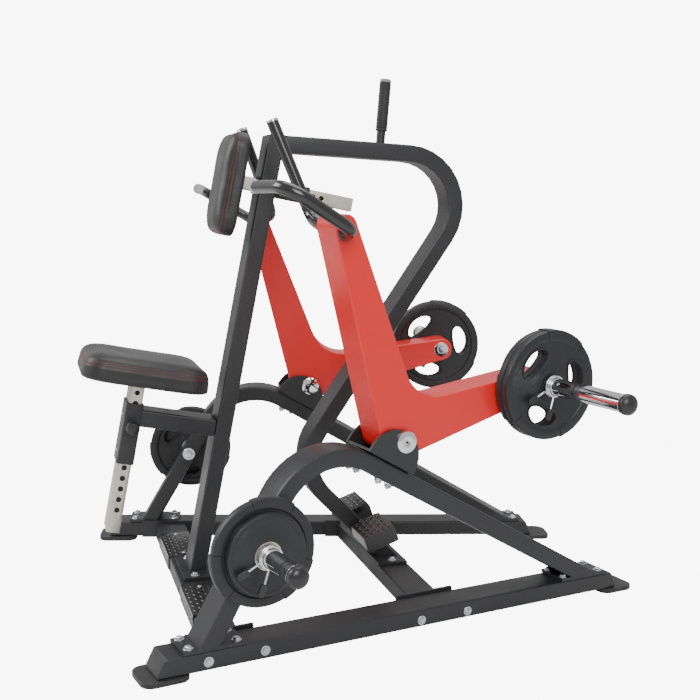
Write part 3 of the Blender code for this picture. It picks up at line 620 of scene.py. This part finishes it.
def build_horn(side, plate, cap, horn, body, flange):
    """Polished horn with its flange, and the ringed end cap."""
    start = side.disc(plate)[0]
    end, _, cap_radius = side.disc(cap)
    reach = (end - start).dot(side.out)
    lip = -0.0034
    profile = [(0.0, lip), (flange, lip), (flange, lip + 0.0030), (HORN_RADIUS, lip + 0.0032),
               (HORN_RADIUS, reach - 0.0004), (0.0, reach - 0.0004)]
    piece = lathe(side.name + horn + "_polished", side.place(start), profile, "chrome", body, 96)
    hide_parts(side.name + horn)
    dome = [(0.0, 0.0), (cap_radius - 0.0005, 0.0)]
    dome += [(cap_radius, 0.0015), (cap_radius, 0.0105)]
    for k in range(1, 13):
        angle = 0.5 * math.pi * k / 12
        dome.append((cap_radius * math.cos(angle) if k < 12 else 0.0, 0.0105 + 0.0180 * math.sin(angle)))
    knob = lathe(side.name + cap + "_dome", side.place(end), dome, "cap_rubber", body, 72)
    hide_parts(side.name + cap)
    bead = [(HORN_RADIUS, -0.0030), (HORN_RADIUS + 0.0020, -0.0026), (HORN_RADIUS + 0.0028, -0.0012),
            (HORN_RADIUS + 0.0024, -0.0001), (HORN_RADIUS, 0.0)]
    lathe(side.name + cap + "_bead", side.place(end), bead, "chrome", body, 72)


def build_collar(side, node, body, plate):
    """A coil of bright wire with two squeeze ends, each in a black grip."""
    start, length = side.disc(plate)[:2]
    matrix = side.place(start + side.out * (length + COLLAR_LIFT))
    wire = 0.0032
    coil = HORN_RADIUS + wire + 0.0010
    turns = 2.125
    first = math.radians(205.0)
    steps = 110
    points = []
    for k in range(steps + 1):
        angle = first + turns * 2.0 * math.pi * k / steps
        height = wire + 0.0075 * turns * k / steps
        points.append(Vector((coil * math.cos(angle), coil * math.sin(angle), height)))
    ends = []
    for index, angle in ((0, first), (-1, first + turns * 2.0 * math.pi)):
        outward = Vector((math.cos(angle), math.sin(angle), 0.0))
        base = points[index]
        ends.append((base + outward * 0.007 + UP * 0.001, base + outward * 0.052 + UP * 0.006, outward))
    path = [ends[0][1], ends[0][0]] + points + [ends[1][0], ends[1][1]]
    bm = bmesh.new()
    add_tube(bm, [matrix @ p for p in path], wire, 16)
    collar = finish(side.name + node + "_wire", bm, "chrome", body, 50.0)
    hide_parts(side.name + node)
    bm = bmesh.new()
    for _, tip, outward in ends:
        tab = matrix @ axes(tip - UP * 0.0045, outward, UP.cross(outward))
        add_prism(bm, tab, rectangle(0.0170, 0.0095, 0.0070), 0.0, 0.0085)
    tabs = finish(side.name + node + "_tabs", bm, "knob_black", body, 50.0)
    round_edges(tabs, 0.0022)


def build_pivot(side):
    """Bright turned cap discs over the pivot shaft's ends, with a small screw recess."""
    start, length, radius = side.disc("_pivot_shaft")
    matrix = side.place(start)
    profile = [
        (0.0, 0.0), (radius * 0.62, 0.0), (radius * 0.94, 0.0030), (radius, 0.0075), (radius, 0.0122),
        (0.0174, 0.0124), (0.0174, length - 0.0142), (radius, length - 0.0140), (radius, length - 0.0080),
        (radius * 0.95, length - 0.0030), (radius * 0.80, length - 0.0010), (radius * 0.30, length),
        (radius * 0.20, length - 0.0012), (radius * 0.18, length - 0.0035), (0.0, length - 0.0035),
    ]
    shaft = lathe(side.name + "_pivot_caps", matrix, profile, "chrome", "frame", 96)
    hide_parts(side.name + "_pivot_shaft")
    # painted shade: a thin near-black hexagon at the bottom of the cap's recess stands for the shade of the
    # screw socket
    recess = side.place(start + side.out * (length - 0.0036))
    bm = bmesh.new()
    add_prism(bm, recess, circle(radius * 0.13, 6), 0.0, 0.0008)
    finish(side.name + "_pivot_socket_shade", bm, "dark", "frame")


def drill(obj, matrix, radius, reach):
    """Cut a round hole through a piece along local z."""
    bm = bmesh.new()
    add_prism(bm, matrix, circle(radius, 64), -reach, reach)
    bmesh.ops.recalc_face_normals(bm, faces=bm.faces)
    mesh = bpy.data.meshes.new("drill")
    bm.to_mesh(mesh)
    bm.free()
    tool = bpy.data.objects.new("drill", mesh)
    bpy.context.scene.collection.objects.link(tool)
    hole = obj.modifiers.new("bore", "BOOLEAN")
    hole.operation = "DIFFERENCE"
    hole.solver = "EXACT"
    hole.object = tool
    bpy.context.view_layer.update()
    apply_modifiers(obj)
    bpy.data.objects.remove(tool, do_unlink=True)


def build_arm(side):
    bm = bmesh.new()
    add_prism(bm, side.at_pivot(), rounded_outline(ARM_CORNERS, 12), -ARM_HALF, ARM_HALF)
    arm = finish(side.name + "_arm_casing", bm, "powder_red", side.name + "_lever", 30.0)
    drill(arm, side.at_pivot(), PIVOT_BORE, 2.0 * ARM_HALF)
    round_edges(arm, 0.0045, 4)
    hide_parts(side.name + "_arm")


def build_handles(side):
    body = side.name + "_lever"
    bores = ((CROSS_GRIP, 0.056, "cross_grip", True), (UPRIGHT_GRIP, 0.050, "upright_grip", False))
    for corners, bend, node, flanged in bores:
        path = bent_path([side.point(ahead, up, out) for ahead, up, out in corners], bend, 22)
        away = (path[-1] - path[-2]).normalized()
        path[-1] = path[-1] - away * 0.0075
        bm = bmesh.new()
        add_tube(bm, path, HANDLE_RADIUS, 40)
        tube = finish(side.name + "_" + node + "_tube", bm, "gloss_black", body, 50.0)
        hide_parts(side.name + "_" + node)
        cap = axes(path[-1], away.orthogonal(), away.cross(away.orthogonal()))
        lathe(side.name + "_" + node + "_end", cap, [
            (0.0, 0.0), (0.0168, 0.0), (0.0175, 0.0008), (0.0175, 0.0060), (0.0165, 0.0074), (0.0118, 0.0075),
            (0.0108, 0.0058), (0.0, 0.0056),
        ], "chrome", body, 48)
        if flanged:
            way = path[1] - path[0]
            ring = axes(path[0], way.orthogonal(), way.cross(way.orthogonal()))
            lathe(side.name + "_" + node + "_weld", ring, [
                (HANDLE_RADIUS - 0.001, 0.0), (HANDLE_RADIUS + 0.0035, 0.0), (HANDLE_RADIUS + 0.0022, 0.0022),
                (HANDLE_RADIUS - 0.001, 0.0040),
            ], "gloss_black", body, 40)


# ---------------------------------------------------------------- tread plates

def add_lozenge(bm, matrix, half_long, half_wide, high):
    near = 0.45 * half_long
    ring = [(half_long, 0.0), (near, half_wide), (-near, half_wide),
            (-half_long, 0.0), (-near, -half_wide), (near, -half_wide)]
    low = [bm.verts.new(matrix @ Vector((x, y, 0.0))) for x, y in ring]
    top = [bm.verts.new(matrix @ Vector((0.72 * x, 0.45 * y, high))) for x, y in ring]
    for i in range(6):
        j = (i + 1) % 6
        bm.faces.new((low[i], low[j], top[j], top[i]))
    bm.faces.new(low)
    bm.faces.new(top)


def build_treads():
    tilt = math.radians(20.0)
    for side in SIDES:
        low, high = (Vector(c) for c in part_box(side.name + "_tread_cover"))
        bm = bmesh.new()
        top_rows = int((high.x - low.x - 0.008) / TREAD_PITCH)
        for i in range(int((high.y - low.y - 0.008) / TREAD_PITCH)):
            for j in range(top_rows):
                where = Vector((low.x + 0.012 + TREAD_PITCH * j, low.y + 0.012 + TREAD_PITCH * i, high.z))
                sign = 1.0 if (i + j) % 2 == 0 else -1.0
                add_lozenge(bm, axes(where, (1, sign, 0), (-sign, 1, 0)), 0.0085, 0.0027, 0.0013)
            for j in range(2):
                where = Vector((low.x, low.y + 0.012 + TREAD_PITCH * i, low.z + 0.012 + TREAD_PITCH * j))
                sign = 1.0 if (i + j) % 2 == 0 else -1.0
                add_lozenge(bm, axes(where, (0, sign, 1), (0, -1, sign)), 0.0085, 0.0027, 0.0013)
        finish(side.name + "_tread_pattern", bm, "tread", "frame", 20.0)
        low, high = (Vector(c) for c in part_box(side.name + "_foot_peg"))
        ahead = Vector((math.cos(tilt), 0.0, math.sin(tilt)))
        up = Vector((-math.sin(tilt), 0.0, math.cos(tilt)))
        centre = 0.5 * (low + high)
        centre.z += 0.0066
        bm = bmesh.new()
        half = 0.5 * (high.y - low.y) - 0.006
        for i in range(int(2.0 * half / TREAD_PITCH)):
            for j in range(5):
                where = centre + ahead * (-0.038 + 0.0180 * j)
                where += up * 0.0218 + Vector((0.0, -half + 0.010 + TREAD_PITCH * i, 0.0))
                sign = 1.0 if (i + j) % 2 == 0 else -1.0
                place = axes(where, ahead + Vector((0, sign, 0)), Vector((0, 1, 0)) - ahead * sign)
                add_lozenge(bm, place, 0.008, 0.0026, 0.0013)
        finish(side.name + "_peg_pattern", bm, "tread", "frame", 20.0)


# ---------------------------------------------------------------- cushions

def soft_block(name, matrix, half_x, half_y, corner, height, shift, cap, body, node):
    """Upholstered pad: a rounded block, voxel remeshed, swollen by cloth pressure and kept near its block."""
    levels = (
        (0.0, -0.004), (0.004, -0.001), (0.012, 0.0), (height - 0.030, 0.0), (height - 0.018, -0.003),
        (height - 0.008, -0.009), (height - 0.002, -0.020), (height, -0.034),
    )
    inset = 0.004
    bm = bmesh.new()
    rings = []
    for z, step in levels:
        outline = rectangle(half_x - inset + step, half_y - inset + step, corner, 8)
        z = 0.001 + z * (height - 0.006) / height
        rings.append([bm.verts.new(Vector((x + shift, y, z))) for x, y in outline])
    for low, high in zip(rings, rings[1:]):
        for i in range(len(low)):
            j = (i + 1) % len(low)
            bm.faces.new((low[i], low[j], high[j], high[i]))
    bm.faces.new(rings[0])
    bm.faces.new(rings[-1])
    bmesh.ops.recalc_face_normals(bm, faces=bm.faces)
    mesh = bpy.data.meshes.new(name)
    bm.to_mesh(mesh)
    bm.free()
    pad = bpy.data.objects.new(name, mesh)
    bpy.context.scene.collection.objects.link(pad)
    remesh = pad.modifiers.new("voxels", "REMESH")
    remesh.mode = "VOXEL"
    remesh.voxel_size = 0.0062
    apply_modifiers(pad)
    swell(pad, cap)
    limit_to_block(pad, half_x, half_y, height, shift)
    smooth = pad.modifiers.new("smooth", "SMOOTH")
    smooth.iterations = 5
    smooth.factor = 0.5
    fine = pad.modifiers.new("fine", "SUBSURF")
    fine.levels = 1
    fine.render_levels = 1
    apply_modifiers(pad)
    seams = (height - 0.031, height - 0.021)
    for vert in pad.data.vertices:
        for seam in seams:
            away = abs(vert.co.z - seam)
            if away < 0.0042 and vert.co.z < height - 0.012:
                flat = Vector((vert.co.x - shift, vert.co.y, 0.0)).normalized()
                vert.co -= flat * (0.0011 * (1.0 - away / 0.0042))
    stitch_rows(pad, matrix, seams, half_x, half_y, shift, corner, body, name)
    pad.data.transform(matrix)
    pad.data.materials.append(MATERIALS["vinyl"])
    pad.data.shade_smooth()
    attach(pad, body)
    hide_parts(node)


def swell(pad, cap):
    """Cloth under pressure with no gravity, then every point kept within cap of where it began."""
    start = [vert.co.copy() for vert in pad.data.vertices]
    group = pad.vertex_groups.new(name="held")
    group.add([v.index for v in pad.data.vertices if v.co.z < 0.004], 1.0, "REPLACE")
    cloth = pad.modifiers.new("cloth", "CLOTH")
    cloth.settings.use_pressure = True
    cloth.settings.uniform_pressure_force = 4.0
    cloth.settings.vertex_group_mass = "held"
    cloth.settings.effector_weights.gravity = 0.0
    cloth.settings.quality = 5
    cloth.point_cache.frame_start = 1
    cloth.point_cache.frame_end = 20
    scene = bpy.context.scene
    for step in range(1, 21):
        scene.frame_set(step)
    apply_modifiers(pad)
    pad.vertex_groups.clear()
    moves = [vert.co - before for vert, before in zip(pad.data.vertices, start)]
    near = [[] for _ in moves]
    for edge in pad.data.edges:
        first, second = edge.vertices
        near[first].append(second)
        near[second].append(first)
    for _ in range(SPREAD_PASSES):
        moves = [
            0.5 * move + 0.5 * sum((moves[k] for k in around), Vector()) / len(around) if around else move
            for move, around in zip(moves, near)
        ]
    for vert, before, move in zip(pad.data.vertices, start, moves):
        vert.co = before + (move.normalized() * cap if move.length > cap else move)
    scene.frame_set(1)


def limit_to_block(pad, half_x, half_y, height, shift):
    for vert in pad.data.vertices:
        vert.co.z = min(max(vert.co.z, 0.0), height + 0.004)
        vert.co.x = min(max(vert.co.x, shift - half_x - 0.003), shift + half_x + 0.003)
        vert.co.y = min(max(vert.co.y, -half_y - 0.003), half_y + 0.003)


def stitch_rows(pad, matrix, seams, half_x, half_y, shift, corner, body, name):
    """Short thread stitches laid on the surface along each seam."""
    tree = BVHTree.FromPolygons([v.co for v in pad.data.vertices], [p.vertices for p in pad.data.polygons])
    bm = bmesh.new()
    outline = rectangle(half_x + 0.02, half_y + 0.02, corner + 0.02, 24)
    for seam in seams:
        loop = [Vector((x + shift, y, seam)) for x, y in outline]
        fine = []
        for a, b in zip(loop, loop[1:] + loop[:1]):
            pieces = max(1, int((b - a).length / 0.002))
            fine += [a.lerp(b, k / pieces) for k in range(pieces)]
        surface = []
        for point in fine:
            centre = Vector((shift + 0.82 * (point.x - shift), 0.82 * point.y, seam))
            hit, normal = tree.ray_cast(point, (centre - point).normalized())[:2]
            if hit is not None:
                surface.append((hit, normal))
        walked = 0.0
        start = 0
        for i in range(1, len(surface)):
            walked += (surface[i][0] - surface[i - 1][0]).length
            if walked > 0.0062:
                first, last = surface[start][0], surface[i][0]
                gap = (last - first) * 0.16
                lift = surface[i][1] * 0.0003
                add_tube(bm, [matrix @ (first + gap + lift), matrix @ (last - gap + lift)], 0.00062, 6)
                walked = 0.0
                start = i
    finish(name + "_stitches", bm, "thread", body, 60.0)


def build_cushions():
    lean = Vector(JOINTS["seat_height"]["axis"]).normalized()
    ahead = Vector(JOINTS["chest_pad_reach"]["axis"]).normalized()
    left = lean.cross(ahead)
    low, high = (Vector(c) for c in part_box("seat_cushion"))
    centre = 0.5 * (low + high)
    half_y = 0.5 * (high.y - low.y)
    half_x, height = 0.187, 0.076
    under = axes(centre - lean * (0.5 * height), ahead, left)
    soft_block("seat_upholstery", under, half_x, half_y, 0.062, height, 0.0, 0.005, "seat", "seat_cushion")
    low, high = (Vector(c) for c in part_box("chest_pad"))
    centre = 0.5 * (low + high)
    half_x = 0.5 * (high.y - low.y)
    height = 0.066
    back = axes(centre + ahead * (0.5 * height), (0.0, -1.0, 0.0), lean)
    soft_block(
        "chest_upholstery", back, half_x, 0.155, 0.046, height, 0.0, 0.005, "chest_support", "chest_pad",
    )


# ---------------------------------------------------------------- small fittings

def build_fittings():
    lean = Vector(JOINTS["seat_height"]["axis"]).normalized()
    for node, body in (("seat_pin", "seat_pin"), ("pad_pin", "pad_pin")):
        low, high = (Vector(c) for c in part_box(node))
        tip = Vector((0.5 * (low.x + high.x), high.y, 0.5 * (low.z + high.z)))
        length = high.y - low.y
        matrix = axes(tip, (1, 0, 0), (0, 0, 1))
        start = length - 0.031
        profile = [
            (0.0, 0.0), (0.0045, 0.0), (0.0060, 0.002), (0.0060, start), (0.0128, start),
            (0.0133, start + 0.005), (0.0150, start + 0.008), (0.0182, start + 0.0105),
            (0.0190, start + 0.014), (0.0190, start + 0.022), (0.0180, start + 0.0265),
            (0.0150, start + 0.0295), (0.0080, start + 0.0308), (0.0, start + 0.031),
        ]
        knob = lathe(node + "_knob", matrix, profile, "knob_black", body, 48)
        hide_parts(node)
        ring = [
            (0.0120, start - 0.0035), (0.0142, start - 0.0030), (0.0142, start - 0.0008),
            (0.0120, start - 0.0004),
        ]
        lathe(node + "_ring", matrix, ring, "chrome", body, 48)

    low, high = (Vector(c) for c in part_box("stabiliser_grip"))
    bottom_node = [Vector(c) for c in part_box("stabiliser_stub")]
    foot = Vector((0.5 * (bottom_node[0].x + bottom_node[1].x), 0.0, bottom_node[0].z))
    tilt = math.radians(3.5)
    up = Vector((math.sin(tilt), 0.0, math.cos(tilt)))
    base = Vector((foot.x - 0.075 * math.sin(tilt), 0.0, foot.z))
    stand = axes(base, (0, 1, 0), up.cross(Vector((0, 1, 0))))
    profile = [(0.0138, 0.038), (0.0172, 0.038), (0.0180, 0.040), (0.0180, 0.043), (0.0168, 0.0455)]
    for k in range(27):
        height = 0.047 + 0.0050 * k
        profile += [
            (0.0172, height), (0.0178, height + 0.0012), (0.0178, height + 0.0030), (0.0172, height + 0.0042),
        ]
    profile += [(0.0170, 0.182), (0.0138, 0.183)]
    grip = lathe("stabiliser_sleeve", stand, profile, "grip", "frame", 48, 20.0)
    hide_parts("stabiliser_grip")
    cap = [
        (0.0, 0.1832), (0.0166, 0.1832), (0.0172, 0.1842), (0.0172, 0.1885), (0.0160, 0.1915),
        (0.0120, 0.1932), (0.0, 0.1938),
    ]
    lathe("stabiliser_cap", stand, cap, "cap_grey", "frame", 48)

    bm = bmesh.new()
    rear = axes(Vector(), (0, 1, 0), lean)
    seat_low, seat_high = (Vector(c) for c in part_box("seat_strut"))
    sleeve_rear = Vector((seat_low.x + 0.0165, 0.0, 0.5 * (seat_low.z + seat_high.z)))
    if rear.col[2][0] > 0.0:
        rear = axes(Vector(), (0, -1, 0), lean)
    for offset in (-0.055, 0.055):
        rear.translation = sleeve_rear + lean * offset - Vector((0.0012, 0.0, 0.0))
        add_screw(bm, rear, 0.005)
    finish("sleeve_screws", bm, "zinc", "frame", 25.0)


def build_painted_hole_shade():
    """Thin dark discs of painted shade on both sides of the drilled tubes, one over each place in the row of
    holes, standing for the shade inside each hole.
    """
    for node, joint, body, pitch, reach in (
        ("seat_post", "seat_height", "seat", 0.032, 8),
        ("pad_tube", "chest_pad_reach", "chest_support", 0.026, 4),
    ):
        along = Vector(JOINTS[joint]["axis"]).normalized()
        low, high = (Vector(c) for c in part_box(node))
        pin = middle("seat_pin" if node == "seat_post" else "pad_pin")
        bm = bmesh.new()
        for sign in (-1.0, 1.0):
            face = high.y if sign > 0.0 else low.y
            for k in range(-reach, reach + 1):
                where = Vector((pin.x, face, pin.z)) + along * (pitch * k)
                inside = low.x + 0.012 < where.x < high.x - 0.012 or node == "seat_post"
                if inside and low.z + 0.020 < where.z < high.z - 0.020 or (inside and node == "pad_tube"):
                    matrix = axes(where, along, (0.0, 0.0, 1.0) if node == "pad_tube" else (1.0, 0.0, 0.0))
                    # painted shade: a thin dark disc over each hole stands for the shade inside it
                    add_prism(bm, matrix, circle(0.0072, 28), -0.0004, 0.0004)
        finish(node + "_holes", bm, "dark", body)


# ---------------------------------------------------------------- carried-over nodes

CARRIED = {
    "powder_black": ("main_post", "seat_strut", "centre_loop", "stabiliser_stub", "seat_plate", "pad_sleeve",
                     "pad_bracket", "front_cross_member", "rear_cross_member"),
    "plated_cream": ("seat_post", "pad_tube"),
}
CARRIED_SIDES = {
    "powder_black": ("base_rail", "arch", "pivot_bracket"),
    "rubber": ("rear_foot", "front_foot", "stop_buffer"),
    "tread": ("tread_cover", "foot_peg"),
}


def finish_carried():
    names = [(node, slot) for slot, nodes in CARRIED.items() for node in nodes]
    for side in SIDES:
        names += [(side.name + "_" + node, slot) for slot, nodes in CARRIED_SIDES.items() for node in nodes]
    for node, slot in names:
        obj = frame["nodes"][node]
        obj.data.materials.clear()
        obj.data.materials.append(MATERIALS[slot])
        weld = obj.modifiers.new("weld", "WELD")
        weld.merge_threshold = 0.00001
        obj.data.shade_smooth()
        smooth = obj.modifiers.new("edges", "BEVEL")
        smooth.width = 0.0009
        smooth.segments = 2
        smooth.limit_method = "ANGLE"
        smooth.angle_limit = math.radians(38.0)
        flat = obj.modifiers.new("flat faces", "WEIGHTED_NORMAL")
        flat.weight = 100


# ---------------------------------------------------------------- stage

def build_stage():
    bm = bmesh.new()
    add_prism(bm, Matrix.Translation((0.0, 0.0, -0.0105)), circle(40.0, 96), 0.0, 0.010)
    mesh = bpy.data.meshes.new("floor")
    bm.to_mesh(mesh)
    bm.free()
    floor = bpy.data.objects.new("floor", mesh)
    bpy.context.scene.collection.objects.link(floor)
    mat, tree, shader = shader_of("white floor", (0.80, 0.80, 0.80), 0.8)
    seen = tree.nodes.new("ShaderNodeLightPath")
    glow = tree.nodes.new("ShaderNodeEmission")
    glow.inputs["Strength"].default_value = SEEN_WHITE
    mix = tree.nodes.new("ShaderNodeMixShader")
    tree.links.new(seen.outputs["Is Camera Ray"], mix.inputs["Fac"])
    tree.links.new(shader.outputs["BSDF"], mix.inputs[1])
    tree.links.new(glow.outputs["Emission"], mix.inputs[2])
    tree.links.new(mix.outputs["Shader"], tree.nodes["Material Output"].inputs["Surface"])
    mesh.materials.append(mat)

    world = bpy.data.worlds.new("studio")
    bpy.context.scene.world = world
    world.use_nodes = True
    background = world.node_tree.nodes["Background"]
    background.inputs["Color"].default_value = (1.0, 1.0, 1.0, 1.0)
    background.inputs["Strength"].default_value = 0.62
    tree = world.node_tree
    seen = tree.nodes.new("ShaderNodeLightPath")
    white = tree.nodes.new("ShaderNodeBackground")
    white.inputs["Color"].default_value = (1.0, 1.0, 1.0, 1.0)
    white.inputs["Strength"].default_value = SEEN_WHITE
    mix = tree.nodes.new("ShaderNodeMixShader")
    tree.links.new(seen.outputs["Is Camera Ray"], mix.inputs["Fac"])
    tree.links.new(background.outputs["Background"], mix.inputs[1])
    tree.links.new(white.outputs["Background"], mix.inputs[2])
    tree.links.new(mix.outputs["Shader"], tree.nodes["World Output"].inputs["Surface"])

    for name, place, aim, size, power in (
        ("rear_softbox", (-3.6, 1.2, 3.0), (-0.2, 0.0, 0.6), 2.4, 120.0),
        ("front_softbox", (-0.6, -4.2, 3.2), (0.0, 0.0, 0.7), 2.6, 130.0),
        ("top_softbox", (0.6, 0.4, 4.4), (0.0, 0.0, 0.5), 3.0, 70.0),
    ):
        lamp = bpy.data.lights.new(name, "AREA")
        lamp.shape = "SQUARE"
        lamp.size = size
        lamp.energy = power
        light = bpy.data.objects.new(name, lamp)
        bpy.context.scene.collection.objects.link(light)
        light.location = place
        light.rotation_euler = (Vector(aim) - Vector(place)).to_track_quat("-Z", "Y").to_euler()


def build_camera():
    """The camera stands behind and to the right of the user, a little above the chest pad."""
    azimuth, elevation, roll = (math.radians(a) for a in (-17.45, 7.93, 1.48))
    flat = math.cos(elevation)
    back = Vector((math.sin(azimuth) * flat, -math.cos(azimuth) * flat, math.sin(elevation)))
    level = Vector((math.cos(azimuth), math.sin(azimuth), 0.0))
    above = back.cross(level)
    across = level * math.cos(roll) + above * math.sin(roll)
    upright = above * math.cos(roll) - level * math.sin(roll)
    matrix = Matrix((across, upright, back)).transposed().to_4x4()
    matrix.translation = Vector((-0.9891, -3.0900, 1.1848))
    data = bpy.data.cameras.new("camera")
    data.sensor_width = 36.0
    data.lens = 54.10
    data.clip_end = 200.0
    camera = bpy.data.objects.new("camera", data)
    bpy.context.scene.collection.objects.link(camera)
    camera.matrix_world = matrix
    bpy.context.scene.camera = camera


build_camera()
build_stage()
finish_carried()
arm_mesh = plate_mesh("arm_plate", 0.160, 0.026, PLATE_TURN)
store_mesh = plate_mesh("stored_plate", 0.145, 0.026, STORED_TURN)
for side in SIDES:
    placed_plate("arm_inner_plate", arm_mesh, side, side.name + "_arm_plates")
    placed_plate("arm_outer_plate", arm_mesh, side, side.name + "_arm_plates")
    placed_plate("stored_large_plate", store_mesh, side, side.name + "_stored_plates")
    build_disc(side)
    build_horn(side, "_arm_inner_plate", "_arm_cap", "_arm_horn", side.name + "_lever", 0.0345)
    build_horn(side, "_stored_large_plate", "_storage_cap", "_storage_horn", "frame", 0.0300)
    build_collar(side, "_arm_collar", side.name + "_arm_collar", "_arm_outer_plate")
    build_collar(side, "_store_collar", side.name + "_store_collar", "_stored_small_plate")
    build_pivot(side)
    build_arm(side)
    build_handles(side)
build_fasteners()
build_treads()
build_cushions()
build_fittings()
build_painted_hole_shade()
